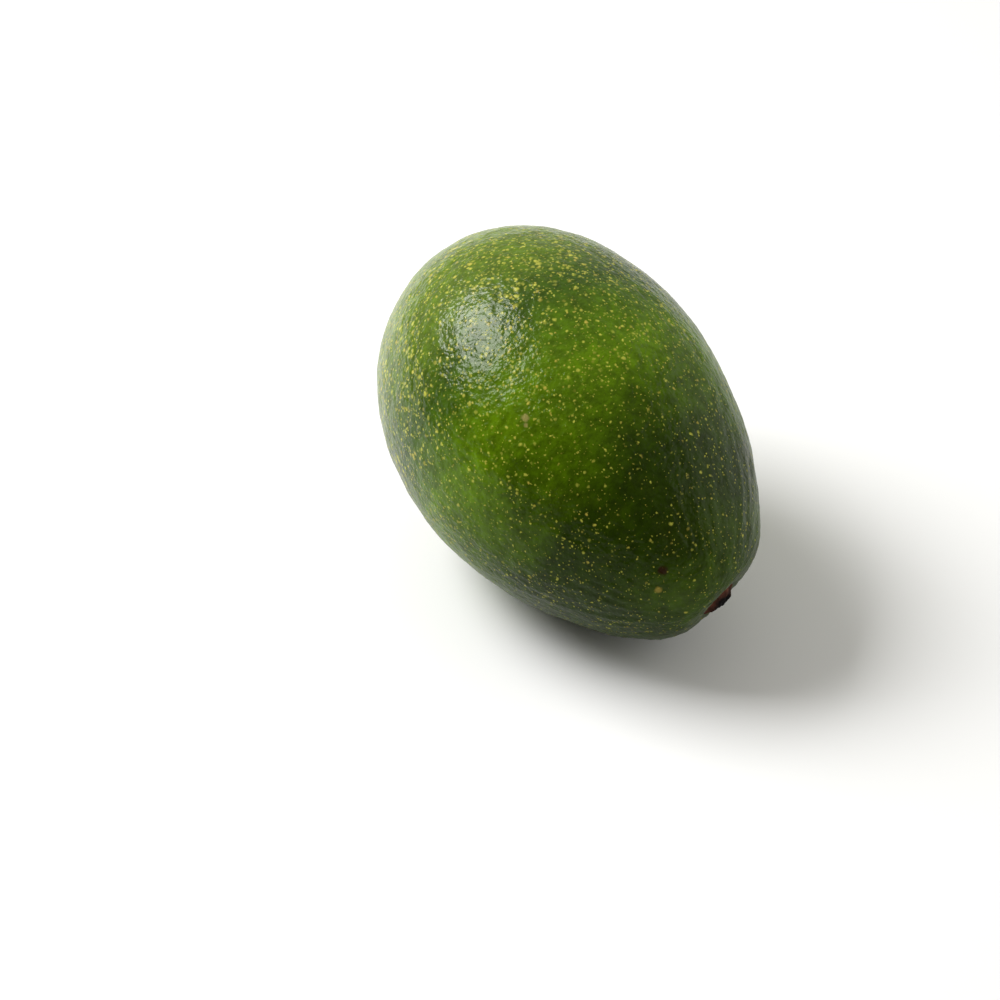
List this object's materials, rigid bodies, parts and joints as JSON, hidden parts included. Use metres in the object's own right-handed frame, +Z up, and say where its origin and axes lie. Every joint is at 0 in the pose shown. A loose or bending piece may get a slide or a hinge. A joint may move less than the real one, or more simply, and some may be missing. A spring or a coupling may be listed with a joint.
{
  "type": "avocado",
  "caption": "Whole green avocado lying on its side, plump and oval with a blunt stem end that keeps a short woody stub of the stalk in a shallow seat.",
  "frame": {"origin": "on the ground, under the middle of the bounding box", "axes": "+X along the fruit towards the stem end in plan, +Z up, blossom end raised towards -X"},
  "size_m": [0.1118, 0.0766, 0.0789],
  "materials": {
    "skin": "waxy, finely pebbled green skin with pale speckles",
    "stalk": "dry, dark brown, broken"
  },
  "bodies": {
    "root": {"fruit": "skin", "stem_stub": "stalk"}
  },
  "joints": []
}
